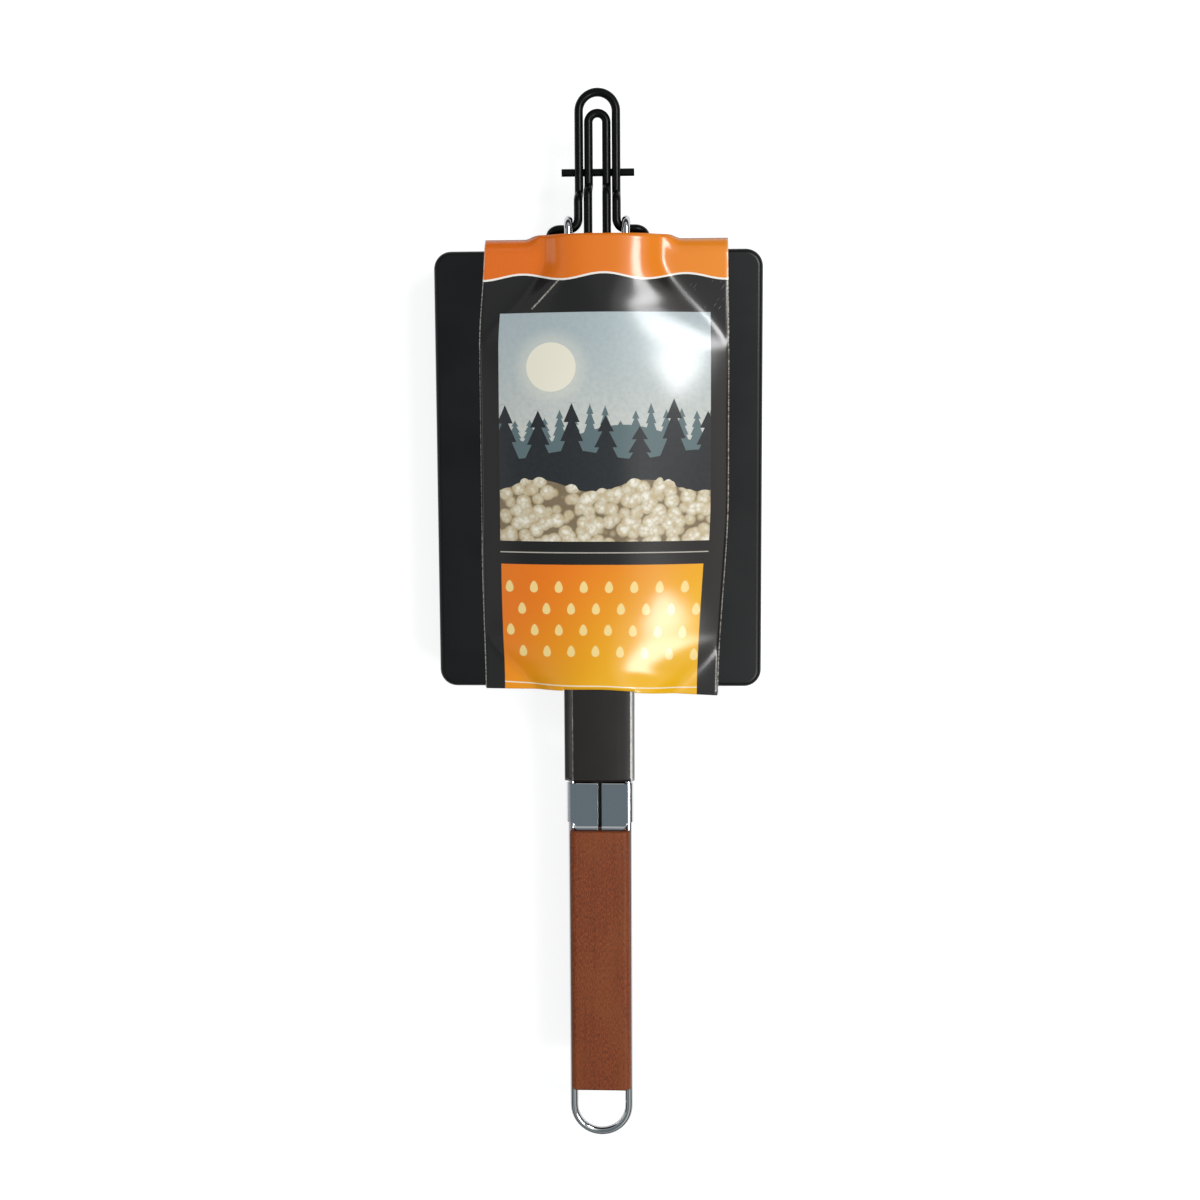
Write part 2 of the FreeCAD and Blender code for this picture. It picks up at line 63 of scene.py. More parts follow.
# Floor, and what the world shows to gloss at each height of a ray's direction
FLOOR_SIZE = 6.0
FLOOR_COLOR = (0.34, 0.34, 0.34, 1)
FLOOR_LIFT = 0.84
SKY_HORIZON = (0.30, 0.31, 0.32, 1)
SKY_DARK_BAND = (0.05, 0.055, 0.06, 1)
SKY_RING_LEFT = (0.50, 0.52, 0.54, 1)
SKY_RING_RIGHT = (0.80, 0.78, 0.76, 1)
SKY_OVERHEAD_LEFT = (0.20, 0.245, 0.27, 1)
SKY_STRIPE = (1.0, 1.0, 1.0, 1)
SKY_OVERHEAD_RIGHT = (0.22, 0.22, 0.22, 1)
SKY_BAND_STARTS = (0.03, 0.12)
SKY_RING_STARTS = (0.54, 0.62)
SKY_OVERHEAD_STARTS = (0.70, 0.82)
SKY_STRIPE_STARTS = (0.02, 0.16)
SKY_STRIPE_ENDS = (0.24, 0.38)

# Lamps: name, place, aim, size and power
LAMPS = (
    ("key", (0.60, 0.39, 1.15), (0, 0, 0.03), (0.38, 0.34), 8.2),
    ("low_key", (0.52, -0.45, 1.15), (0, -0.05, 0.03), (0.22, 0.36), 4.7),
    ("left_edge", (-1.0, -0.10, 0.42), (0, -0.10, 0.03), (0.9, 0.20), 0.8),
)

# Card sleeve, in millimetres: a sheet that arches over the handle's rods and bows out to its sides
CARD_MIDDLE_X = 3.0
CARD_HALF_WIDTH = 70.0
CARD_SHEET = 0.36
CARD_EDGE_ABOVE_PAN = 0.72
CARD_CROWN_RISE = 14.0
CARD_UPPER_FOOT = 33.0
CARD_LOWER_FOOT = 36.0
CARD_FOOT_ROUNDING = 3.2
CARD_CROWN_ROUNDING = 5.0
CARD_UPPER_STRAIGHT = 13.0
CARD_LOWER_STRAIGHT = -9.0
CARD_UPPER_OPENS_OVER = 54.0
CARD_LOWER_OPENS_OVER = 46.0
CARD_UPPER_SAG = 4.5
CARD_END_POWER = 3.0
CARD_FLANK_POWER = 1.45
CARD_MIDDLE_POWER = 2.0
CARD_FOLD_RADIUS = 0.25
CARD_FLAP = 13.0
CARD_DROOP_FROM_Y = 123.8
CARD_DROOP_RADIUS = 11.0
CARD_LEFT_SLANT = 0.019
CARD_RIGHT_SLANT = 0.040
CARD_END_PULL = 2.2
CARD_END_PULL_WIDTH = 32.0
CARD_LIP_FOLD_RADIUS = 0.7
CARD_WAVE = 0.12
CREASE_START = Vector((-23.0, 109.5))
CREASE_END = Vector((-37.5, 93.5))
CREASE_DEPTH = 0.35
CREASE_HALF_WIDTH = 2.2
NOTCH_HALF = 21.1
TONGUE_LEFT_FOLD_X = -15.6
TONGUE_RIGHT_FOLD_X = 19.0
TONGUE_FOLD_DROP = 0.5
TONGUE_SHOULDER_DROP = 4.1
TONGUE_FOLD_RADIUS = 0.9
TONGUE_UNDER_CARD = 5.0
TONGUE_SHORTER = 2.2

# Split sleeve, in millimetres: the node's sheet with rolled edges, a curved front lip and a narrower slot
SLEEVE_SHEET = 0.8
SLEEVE_CORNER = 2.9
SLEEVE_SLOT_HALF = 1.1
SLEEVE_FLAP_HALF = 16.0
SLEEVE_FLAP_LENGTH = 4.3
SLEEVE_FLAP_CORNER = 3.0
SLEEVE_LIP_RISE = 1.2
SLEEVE_LIP_LENGTH = 2.7
SLEEVE_EDGE_ROUND = 0.36

# Weld beads, in millimetres
BEAD_HALF = (2.3, 2.0, 1.2)
BEAD_OFF_BAR = 1.0
BEAD_SINK = 0.2
BEAD_UNEVENNESS = 0.22
LOOP_LEGS = (10.7, 5.15)

# Print on the card, in the same millimetres
BAND_EDGE_Y = 111.5
BAND_WAVE = 1.7
BAND_WAVE_PITCH = 46.7
PICTURE_X = (-56.0, 63.0)
PICTURE_Y = (-40.0, 91.0)
RULE_Y = -46.5
PANEL_X = (-55.5, 60.5)
PANEL_TOP_Y = -53.5
CARD_GLOSS = {
    "IOR": 1.5,
    "Specular_IOR_Level": 0.15,
    "Coat_Weight": 1.0,
    "Coat_Roughness": 0.19,
    "Coat_IOR": 1.5,
}
MOON_CENTRE = (-26.0, 60.0)
MOON_RADIUS = 14.0
MOON_HALO = 24.0
FAR_PINES = {"pitch": 8.5, "base": 16.0, "height": 22.0, "seed": 3.0}
NEAR_PINES = {"pitch": 19.0, "base": -4.0, "height": 46.0, "seed": 11.0}
NEAR_PINES_SHIFT = 5.0
PINE_TIERS = 3.999
FAR_HILL = {"pitch": 96.0, "height": 5.0, "base": 22.0, "phase": 0.1}
NEAR_BANK = {"pitch": 70.0, "height": 2.5, "base": 10.0, "phase": 0.45}
CORN_GROUND = {"pitch": 60.0, "height": 3.5, "base": -5.0, "phase": 0.8}
PANEL_FOOT = {"pitch": 280.0, "height": 2.2, "base": -124.5, "phase": 0.74}
KERNEL_ROWS_Y = (-112.0, -60.0)
KERNEL_ROW_PITCH = 13.0
KERNEL_PITCH = 14.5
KERNEL_RADIUS = 2.65
KERNEL_LENGTH = 10.0
SCRATCH_X = (52.0, 72.0)
SCRATCH_Y = (88.0, 112.0)
SCRATCH_SLOPE = 0.75

# Colours, linear
BLACK_COAT = ((0.0024, 0.0027, 0.0029, 1), (0.0040, 0.0044, 0.0048, 1))
WIRE_COAT = ((0.0014, 0.0016, 0.0018, 1), (0.0028, 0.0031, 0.0033, 1))
WIRE_CHROME = (0.56, 0.57, 0.58)
SHEET_CHROME = (0.60, 0.62, 0.64)
DULL_STEEL = ((0.035, 0.034, 0.033, 1), (0.075, 0.072, 0.068, 1))
PIN_STEEL = ((0.36, 0.36, 0.37, 1), (0.50, 0.50, 0.51, 1))
WOOD = ((0.135, 0.029, 0.0085, 1), (0.285, 0.066, 0.0175, 1))
WOOD_STREAK = (0.120, 0.025, 0.0075, 1)
WOOD_PATCH = (0.250, 0.068, 0.0165, 1)
WOOD_PORE = (0.072, 0.0160, 0.0060, 1)
# Painted shade for the grip's lower end
WOOD_END_PAINTED_SHADE = (0.020, 0.0080, 0.0050, 1)
SKY_PRINT = ((0.66, 0.65, 0.58, 1), (0.42, 0.49, 0.51, 1))
SKY_MOTTLE = (0.33, 0.40, 0.41, 1)
MOON_GLOW = (0.80, 0.78, 0.66, 1)
MOON_COLOR = (0.84, 0.80, 0.66, 1)
FAR_PINE_COLOR = (0.11, 0.16, 0.17, 1)
NEAR_PINE_COLOR = ((0.010, 0.011, 0.013, 1), (0.026, 0.029, 0.032, 1))
CORN_CREAM = ((0.86, 0.83, 0.72, 1), (0.55, 0.47, 0.31, 1))
CORN_DIMPLE = (0.50, 0.37, 0.18, 1)
CORN_GAP = (0.13, 0.085, 0.045, 1)
PANEL_COLOR = ((0.84, 0.195, 0.004, 1), (0.86, 0.46, 0.006, 1))
KERNEL_COLOR = (0.93, 0.70, 0.27, 1)
FOOT_LINE_COLOR = (0.92, 0.80, 0.58, 1)
CARD_GROUND = ((0.0065, 0.0050, 0.0042, 1), (0.0110, 0.0086, 0.0072, 1))
RULE_COLOR = (0.50, 0.47, 0.40, 1)
BAND_COLOR = ((0.73, 0.135, 0.004, 1), (0.83, 0.26, 0.016, 1))
BAND_FIBRE = (0.86, 0.21, 0.008, 1)
BAND_LINE_COLOR = (0.90, 0.87, 0.80, 1)
WORN_CARD = (0.60, 0.56, 0.50, 1)
SCRATCH_COLOR = (0.50, 0.46, 0.43, 1)
RAW_BOARD = ((0.30, 0.27, 0.235, 1), (0.44, 0.41, 0.365, 1))
TONGUE_COLOR = ((0.0085, 0.0058, 0.0042, 1), (0.0140, 0.0100, 0.0074, 1))
# Pale fold colour on the tongue: partly wear, partly painted highlight
TONGUE_FOLD_WEAR_AND_HIGHLIGHT = (0.74, 0.71, 0.67, 1)


def node_middle(name):
    low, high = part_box(name)
    return (low + high) / 2


CARD_BOX_Y = [corner.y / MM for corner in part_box("card_panel")]


def add_node(tree, kind, inputs=None, **settings):
    """One shader node. An input is a value, or a socket that is linked to it."""
    node = tree.nodes.new(kind)
    for key, value in settings.items():
        setattr(node, key, value)
    for key, value in (inputs or {}).items():
        if isinstance(value, bpy.types.NodeSocket):
            tree.links.new(value, node.inputs[key])
        else:
            node.inputs[key].default_value = value
    return node


def calc(tree, operation, *values):
    """The result of one math node."""
    node = add_node(tree, "ShaderNodeMath", dict(enumerate(values)), operation=operation)
    return node.outputs[0]


def ramp(tree, value, low, high, start=0.0, end=1.0, smooth=True):
    """Value between low and high, mapped to start and end and held there outside."""
    kind = "SMOOTHSTEP" if smooth else "LINEAR"
    inputs = {"Value": value, "From Min": low, "From Max": high, "To Min": start, "To Max": end}
    return add_node(tree, "ShaderNodeMapRange", inputs, interpolation_type=kind).outputs["Result"]


def mix_color(tree, factor, first, second, blend="MIX"):
    node = add_node(tree, "ShaderNodeMix", data_type="RGBA", blend_type=blend)
    for index, value in ((0, factor), (6, first), (7, second)):
        if isinstance(value, bpy.types.NodeSocket):
            tree.links.new(value, node.inputs[index])
        else:
            node.inputs[index].default_value = value
    return node.outputs[2]


def in_millimetres(tree, source, scale=(1, 1, 1)):
    inputs = {0: source, 1: tuple(factor / MM for factor in scale)}
    return add_node(tree, "ShaderNodeVectorMath", inputs, operation="MULTIPLY").outputs[0]


def place(tree, scale=(1, 1, 1)):
    """The object's own coordinates in millimetres, stretched by scale."""
    source = tree.nodes.new("ShaderNodeTexCoord").outputs["Object"]
    return in_millimetres(tree, source, scale)


def place_on_sheet(tree):
    """The place on the flat card, in millimetres, from the sheet's own map."""
    source = add_node(tree, "ShaderNodeUVMap", uv_map="sheet").outputs["UV"]
    return in_millimetres(tree, source)


def noise(tree, where, scale, detail=2.0, roughness=0.5):
    inputs = {"Vector": where, "Scale": scale, "Detail": detail, "Roughness": roughness}
    return add_node(tree, "ShaderNodeTexNoise", inputs).outputs["Fac"]


def bump(tree, height, strength, distance, under=None):
    inputs = {"Height": height, "Strength": strength, "Distance": distance}
    if under is not None:
        inputs["Normal"] = under
    return add_node(tree, "ShaderNodeBump", inputs).outputs["Normal"]


def new_material(name, **sockets):
    """A material with one principled shader, whose constant values are set on its own sockets."""
    material = bpy.data.materials.new(name)
    material.use_nodes = True
    tree = material.node_tree
    shader = tree.nodes["Principled BSDF"]
    for key, value in sockets.items():
        shader.inputs[key.replace("_", " ")].default_value = value
    return material, tree, shader


def coated_steel():
    """Satin black non-stick coat with a very fine grain and a few soft rubs."""
    material, tree, shader = new_material("black_coat", IOR=1.36)
    where = place(tree)
    grain = noise(tree, where, 2.2, 3.0, 0.6)
    cloud = noise(tree, where, 0.02, 4.0, 0.55)
    color = mix_color(tree, cloud, *BLACK_COAT)
    rough = ramp(tree, cloud, 0.3, 0.7, 0.32, 0.40)
    tree.links.new(color, shader.inputs["Base Color"])
    tree.links.new(rough, shader.inputs["Roughness"])
    tree.links.new(bump(tree, grain, 0.25, 0.05 * MM), shader.inputs["Normal"])
    return material


def coated_wire():
    """Black dipped wire, with long soft waves in the coat."""
    material, tree, shader = new_material("black_wire_coat", IOR=1.33, Specular_IOR_Level=0.3)
    where = place(tree)
    lumps = noise(tree, where, 0.25, 3.0, 0.55)
    fine = noise(tree, where, 2.0, 2.0, 0.5)
    color = mix_color(tree, lumps, *WIRE_COAT)
    rough = ramp(tree, lumps, 0.3, 0.7, 0.26, 0.34)
    tree.links.new(color, shader.inputs["Base Color"])
    tree.links.new(rough, shader.inputs["Roughness"])
    soft = bump(tree, lumps, 0.25, 0.12 * MM)
    tree.links.new(bump(tree, fine, 0.10, 0.02 * MM, soft), shader.inputs["Normal"])
    return material


def chrome(name, tint):
    """Bright chrome plate with faint draw marks and dull specks."""
    material, tree, shader = new_material(name, Metallic=1.0)
    where = place(tree)
    marks = noise(tree, place(tree, (1, 0.05, 1)), 1.2, 3.0, 0.6)
    specks = noise(tree, where, 0.9, 5.0, 0.7)
    color = mix_color(tree, specks, tuple(0.92 * c for c in tint) + (1,), tint + (1,))
    rough = ramp(tree, specks, 0.45, 0.75, 0.06, 0.16)
    tree.links.new(color, shader.inputs["Base Color"])
    tree.links.new(rough, shader.inputs["Roughness"])
    tree.links.new(bump(tree, marks, 0.12, 0.03 * MM), shader.inputs["Normal"])
    return material


def dull_steel():
    """The unplated, stained inner side of the sleeve."""
    material, tree, shader = new_material("dull_steel", Metallic=1.0)
    stains = noise(tree, place(tree), 0.6, 4.0, 0.6)
    color = mix_color(tree, stains, *DULL_STEEL)
    tree.links.new(color, shader.inputs["Base Color"])
    tree.links.new(ramp(tree, stains, 0.3, 0.7, 0.45, 0.6), shader.inputs["Roughness"])
    return material


def steel_pin():
    """Plain drawn steel of the hinge pins."""
    material, tree, shader = new_material("pin_steel", Metallic=1.0)
    rings = noise(tree, place(tree, (1, 0.1, 1)), 2.0, 3.0, 0.6)
    color = mix_color(tree, rings, *PIN_STEEL)
    tree.links.new(color, shader.inputs["Base Color"])
    tree.links.new(ramp(tree, rings, 0.3, 0.7, 0.28, 0.42), shader.inputs["Roughness"])
    return material


def grip_wood():
    """Red-brown stained hardwood: short flecks and pores along Y, broad patches, and painted shade at its
    lower end.
    """
    material, tree, shader = new_material("stained_wood", IOR=1.45, Specular_IOR_Level=0.3)
    flecks = noise(tree, place(tree, (1, 0.24, 1)), 2.0, 4.0, 0.65)
    streaks = noise(tree, place(tree, (1, 0.03, 1)), 0.55, 4.0, 0.55)
    patches = noise(tree, place(tree, (1, 0.35, 1)), 0.05, 3.0, 0.5)
    pores = noise(tree, place(tree, (1, 0.20, 1)), 2.2, 3.0, 0.55)
    color = mix_color(tree, ramp(tree, flecks, 0.38, 0.62), *WOOD)
    color = mix_color(tree, ramp(tree, streaks, 0.45, 0.75, 0.0, 0.4), color, WOOD_STREAK)
    color = mix_color(tree, ramp(tree, patches, 0.40, 0.65, 0.0, 0.45), color, WOOD_PATCH)
    color = mix_color(tree, ramp(tree, pores, 0.53, 0.68, 0.0, 0.55), color, WOOD_PORE)
    # Painted shade: the colour darkens to near black over the last millimetre of the grip's lower end.
    lower_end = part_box("wood_grip")[0].y / MM
    from_end = calc(tree, "SUBTRACT", axes(tree, place(tree))[1], lower_end)
    color = mix_color(tree, ramp(tree, from_end, 0.2, 1.1, 0.9, 0.0), color, WOOD_END_PAINTED_SHADE)
    tree.links.new(color, shader.inputs["Base Color"])
    tree.links.new(ramp(tree, flecks, 0.3, 0.7, 0.46, 0.58), shader.inputs["Roughness"])
    relief = calc(tree, "SUBTRACT", flecks, pores)
    tree.links.new(bump(tree, relief, 0.3, 0.10 * MM), shader.inputs["Normal"])
    return material


def axes(tree, vector):
    outputs = add_node(tree, "ShaderNodeSeparateXYZ", {0: vector}).outputs
    return outputs["X"], outputs["Y"], outputs["Z"]


def inside(tree, value, low, high, soft=0.12):
    """1 between low and high, and 0 outside."""
    above = ramp(tree, value, low - soft, low + soft)
    below = ramp(tree, value, high - soft, high + soft, 1.0, 0.0)
    return calc(tree, "MULTIPLY", above, below)


def either(tree, *masks):
    result = masks[0]
    for mask in masks[1:]:
        result = calc(tree, "MAXIMUM", result, mask)
    return result


def both(tree, *masks):
    result = masks[0]
    for mask in masks[1:]:
        result = calc(tree, "MULTIPLY", result, mask)
    return result


def wave(tree, value, pitch, height, base, phase):
    """base + height * sin(2 pi (value / pitch + phase))."""
    angle = calc(tree, "MULTIPLY_ADD", value, math.tau / pitch, math.tau * phase)
    return calc(tree, "MULTIPLY_ADD", calc(tree, "SINE", angle), height, base)


def distance(tree, across, along):
    """sqrt(across squared + along squared)."""
    squares = [calc(tree, "POWER", value, 2.0) for value in (across, along)]
    return calc(tree, "SQRT", calc(tree, "ADD", *squares))


def below(tree, line, value):
    """1 where the value is under the line, with a soft edge."""
    return ramp(tree, calc(tree, "SUBTRACT", line, value), -0.15, 0.15)


def ruled_line(tree, offset, half_width):
    """1 where the offset is under half_width either way."""
    size = calc(tree, "ABSOLUTE", offset)
    return ramp(tree, size, half_width - 0.12, half_width + 0.12, 1.0, 0.0)


def pine_row(tree, x, y, pitch, base, height, seed):
    """A row of tiered pines of different heights."""
    column = calc(tree, "DIVIDE", x, pitch)
    number = calc(tree, "FLOOR", column)
    inputs = {"W": calc(tree, "ADD", number, seed)}
    chance = add_node(tree, "ShaderNodeTexWhiteNoise", inputs, noise_dimensions="1D").outputs["Value"]
    tall = calc(tree, "MULTIPLY_ADD", chance, 0.5 * height, 0.6 * height)
    across = calc(tree, "SUBTRACT", calc(tree, "SUBTRACT", column, number), 0.5)
    across = calc(tree, "MULTIPLY", calc(tree, "ABSOLUTE", across), pitch)
    above = calc(tree, "SUBTRACT", y, base)
    down = calc(tree, "SUBTRACT", 1.0, calc(tree, "DIVIDE", above, tall))
    tier = calc(tree, "FRACT", calc(tree, "MULTIPLY", down, PINE_TIERS))
    reach = calc(tree, "MULTIPLY_ADD", down, 0.40 * pitch, calc(tree, "MULTIPLY", tier, 0.14 * pitch))
    tree_mask = ramp(tree, calc(tree, "SUBTRACT", reach, across), -0.1, 0.1)
    return both(tree, tree_mask, ramp(tree, down, -0.01, 0.01), ramp(tree, above, -0.1, 0.1))


def line_between(tree, x, y, start, end, half_width):
    """1 along the straight line from start to end."""
    run = end - start
    along_x = calc(tree, "MULTIPLY", calc(tree, "SUBTRACT", x, start.x), run.x / run.length_squared)
    along_y = calc(tree, "MULTIPLY", calc(tree, "SUBTRACT", y, start.y), run.y / run.length_squared)
    both_ways = {0: along_x, 1: along_y}
    along = add_node(tree, "ShaderNodeMath", both_ways, operation="ADD", use_clamp=True).outputs[0]
    off_x = calc(tree, "SUBTRACT", calc(tree, "MULTIPLY_ADD", along, run.x, start.x), x)
    off_y = calc(tree, "SUBTRACT", calc(tree, "MULTIPLY_ADD", along, run.y, start.y), y)
    return ramp(tree, distance(tree, off_x, off_y), 0.3 * half_width, half_width, 1.0, 0.0)


def print_sky(tree, x, y, mottle):
    """A pale mottled sky with a moon and its glow."""
    sky = mix_color(tree, ramp(tree, y, -10.0, PICTURE_Y[1]), *SKY_PRINT)
    sky = mix_color(tree, ramp(tree, mottle, 0.35, 0.7, 0.0, 0.35), sky, SKY_MOTTLE)
    from_moon_x = calc(tree, "SUBTRACT", x, MOON_CENTRE[0])
    from_moon_y = calc(tree, "SUBTRACT", y, MOON_CENTRE[1])
    from_moon = distance(tree, from_moon_x, from_moon_y)
    moon = ramp(tree, from_moon, MOON_RADIUS - 0.2, MOON_RADIUS + 0.2, 1.0, 0.0)
    halo = ramp(tree, from_moon, MOON_RADIUS, MOON_HALO, 0.35, 0.0)
    sky = mix_color(tree, halo, sky, MOON_GLOW)
    return mix_color(tree, moon, sky, MOON_COLOR)


def print_corn(tree, where):
    """Popped corn with brown dimples and dark gaps: its colour, and 0 to 1 across each puff."""
    cells = add_node(tree, "ShaderNodeTexVoronoi", {"Vector": where, "Scale": 0.16, "Randomness": 0.85})
    lobes = add_node(tree, "ShaderNodeTexVoronoi", {"Vector": where, "Scale": 0.42, "Randomness": 1.0})
    puffs = ramp(tree, cells.outputs["Distance"], 0.10, 0.72)
    cream = mix_color(tree, puffs, *CORN_CREAM)
    dimples = ramp(tree, lobes.outputs["Distance"], 0.35, 0.75, 0.0, 0.55)
    cream = mix_color(tree, dimples, cream, CORN_DIMPLE)
    gaps = ramp(tree, cells.outputs["Distance"], 0.60, 0.78, 0.0, 0.8)
    return mix_color(tree, gaps, cream, CORN_GAP), puffs


def print_picture(tree, where, x, y, under):
    """A camp scene in flat shapes: a pale sky and moon, two rows of pines and popped corn in front."""
    mottle = noise(tree, where, 0.35, 5.0, 0.65)
    color = print_sky(tree, x, y, mottle)
    far = either(tree, pine_row(tree, x, y, **FAR_PINES), below(tree, wave(tree, x, **FAR_HILL), y))
    color = mix_color(tree, far, color, FAR_PINE_COLOR)
    near = pine_row(tree, calc(tree, "ADD", x, NEAR_PINES_SHIFT), y, **NEAR_PINES)
    near = either(tree, near, below(tree, wave(tree, x, **NEAR_BANK), y))
    color = mix_color(tree, near, color, mix_color(tree, mottle, *NEAR_PINE_COLOR))
    corn, puffs = print_corn(tree, where)
    ground_line = calc(tree, "MULTIPLY_ADD", puffs, -3.0, wave(tree, x, **CORN_GROUND))
    color = mix_color(tree, below(tree, ground_line, y), color, corn)
    frame_mask = both(tree, inside(tree, x, *PICTURE_X), inside(tree, y, *PICTURE_Y))
    return mix_color(tree, frame_mask, under, color)


def print_panel(tree, x, y, under):
    """The orange and yellow panel with rows of corn kernels."""
    slope = calc(tree, "MULTIPLY_ADD", y, -1.0, x)
    color = mix_color(tree, ramp(tree, slope, 20.0, 160.0), *PANEL_COLOR)
    row = calc(tree, "DIVIDE", calc(tree, "SUBTRACT", KERNEL_ROWS_Y[1], y), KERNEL_ROW_PITCH)
    row_number = calc(tree, "FLOOR", row)
    shift = calc(tree, "MULTIPLY", calc(tree, "MODULO", row_number, 2.0), 0.5)
    column = calc(tree, "ADD", calc(tree, "DIVIDE", x, KERNEL_PITCH), shift)
    across = calc(tree, "SUBTRACT", calc(tree, "FRACT", column), 0.5)
    along = calc(tree, "SUBTRACT", calc(tree, "FRACT", row), 0.5)
    taper = calc(tree, "MULTIPLY_ADD", along, 0.9, 0.85)
    across = calc(tree, "DIVIDE", calc(tree, "MULTIPLY", across, KERNEL_PITCH), taper)
    from_middle = distance(tree, across, calc(tree, "MULTIPLY", along, KERNEL_LENGTH))
    kernel = ramp(tree, from_middle, KERNEL_RADIUS - 0.15, KERNEL_RADIUS + 0.15, 1.0, 0.0)
    kernel = both(tree, kernel, inside(tree, y, *KERNEL_ROWS_Y))
    color = mix_color(tree, kernel, color, KERNEL_COLOR)
    from_foot = calc(tree, "SUBTRACT", y, wave(tree, x, **PANEL_FOOT))
    color = mix_color(tree, ruled_line(tree, from_foot, 0.35), color, FOOT_LINE_COLOR)
    under_top = ramp(tree, y, PANEL_TOP_Y - 0.1, PANEL_TOP_Y + 0.1, 1.0, 0.0)
    return mix_color(tree, both(tree, inside(tree, x, *PANEL_X), under_top), under, color)


def printed_card():
    """Gloss-coated print: an orange band, a dark ground, a pale picture and a warm panel."""
    material, tree, shader = new_material("card_print", **CARD_GLOSS)
    where = place_on_sheet(tree)
    x, y, _ = axes(tree, where)
    fibre = noise(tree, where, 1.1, 4.0, 0.6)
    color = print_picture(tree, where, x, y, mix_color(tree, fibre, *CARD_GROUND))
    color = print_panel(tree, x, y, color)
    rule = ruled_line(tree, calc(tree, "SUBTRACT", y, RULE_Y), 0.3)
    color = mix_color(tree, both(tree, rule, inside(tree, x, *PICTURE_X)), color, RULE_COLOR)
    band_edge = wave(tree, x, BAND_WAVE_PITCH, BAND_WAVE, BAND_EDGE_Y, 0.2)
    from_edge = calc(tree, "SUBTRACT", y, band_edge)
    orange = mix_color(tree, ramp(tree, x, -60.0, 75.0), *BAND_COLOR)
    orange = mix_color(tree, ramp(tree, fibre, 0.3, 0.7, 0.0, 0.3), orange, BAND_FIBRE)
    color = mix_color(tree, ramp(tree, from_edge, -0.1, 0.1), color, orange)
    color = mix_color(tree, ruled_line(tree, from_edge, 0.55), color, BAND_LINE_COLOR)
    rubs = noise(tree, where, 0.9, 4.0, 0.7)
    from_middle = calc(tree, "ABSOLUTE", calc(tree, "SUBTRACT", x, CARD_MIDDLE_X))
    edge_distance = calc(tree, "SUBTRACT", CARD_HALF_WIDTH, from_middle)
    worn = ramp(tree, edge_distance, 0.0, 0.55, 1.0, 0.0)
    worn = both(tree, worn, ramp(tree, rubs, 0.38, 0.6, 0.1, 0.8))
    crease = line_between(tree, x, y, CREASE_START, CREASE_END, 0.7)
    crease = both(tree, crease, ramp(tree, rubs, 0.35, 0.6, 0.15, 0.75))
    slant = calc(tree, "MULTIPLY_ADD", x, SCRATCH_SLOPE, y)
    across_slant = calc(tree, "MULTIPLY_ADD", y, -SCRATCH_SLOPE, x)
    drawn_out = {0: calc(tree, "MULTIPLY", slant, 0.06), 1: across_slant}
    scratch_place = add_node(tree, "ShaderNodeCombineXYZ", drawn_out).outputs[0]
    scratches = ramp(tree, noise(tree, scratch_place, 1.3, 2.0, 0.5), 0.69, 0.72)
    corner = both(tree, inside(tree, x, *SCRATCH_X, 4.0), inside(tree, y, *SCRATCH_Y, 5.0))
    scratches = both(tree, scratches, corner)
    color = mix_color(tree, either(tree, worn, crease), color, WORN_CARD)
    color = mix_color(tree, calc(tree, "MULTIPLY", scratches, 0.5), color, SCRATCH_COLOR)
    tree.links.new(color, shader.inputs["Base Color"])
    tree.links.new(ramp(tree, rubs, 0.3, 0.7, 0.42, 0.55), shader.inputs["Roughness"])
    relief = calc(tree, "MULTIPLY_ADD", scratches, -2.0, fibre)
    tree.links.new(bump(tree, relief, 0.15, 0.02 * MM), shader.inputs["Normal"])
    return material


def raw_board():
    """The grey unprinted side and the cut edges of the board."""
    material, tree, shader = new_material("raw_board", IOR=1.45)
    fibre = noise(tree, place(tree, (1, 0.4, 1)), 1.6, 5.0, 0.7)
    color = mix_color(tree, ramp(tree, fibre, 0.3, 0.7), *RAW_BOARD)
    tree.links.new(color, shader.inputs["Base Color"])
    tree.links.new(ramp(tree, fibre, 0.3, 0.7, 0.75, 0.9), shader.inputs["Roughness"])
    tree.links.new(bump(tree, fibre, 0.4, 0.05 * MM), shader.inputs["Normal"])
    return material


def brown_card():
    """The tongue's dark print, paler along its folds, partly from wear and partly as a painted highlight."""
    material, tree, shader = new_material("brown_card", **CARD_GLOSS)
    where = place(tree)
    x = axes(tree, where)[0]
    fibre = noise(tree, where, 1.2, 4.0, 0.6)
    rubs = noise(tree, place(tree, (1, 0.25, 1)), 1.4, 4.0, 0.65)
    color = mix_color(tree, fibre, *TONGUE_COLOR)
    # Pale lines along the folds: partly wear, partly painted highlight, strong on the right fold and faint
    # on the left.
    right_fold = ruled_line(tree, calc(tree, "SUBTRACT", x, TONGUE_RIGHT_FOLD_X), 0.5)
    right_fold = both(tree, right_fold, ramp(tree, rubs, 0.3, 0.5, 0.6, 1.0))
    left_fold = ruled_line(tree, calc(tree, "SUBTRACT", x, TONGUE_LEFT_FOLD_X), 0.35)
    left_fold = both(tree, left_fold, ramp(tree, rubs, 0.4, 0.65, 0.1, 0.4))
    color = mix_color(tree, either(tree, right_fold, left_fold), color, TONGUE_FOLD_WEAR_AND_HIGHLIGHT)
    tree.links.new(color, shader.inputs["Base Color"])
    tree.links.new(ramp(tree, rubs, 0.3, 0.7, 0.36, 0.5), shader.inputs["Roughness"])
    tree.links.new(bump(tree, fibre, 0.15, 0.02 * MM), shader.inputs["Normal"])
    return material


def show_node(name, material):
    """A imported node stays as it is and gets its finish."""
    data = frame["nodes"][name].data
    data.materials.clear()
    data.materials.append(material)
    data.shade_smooth()


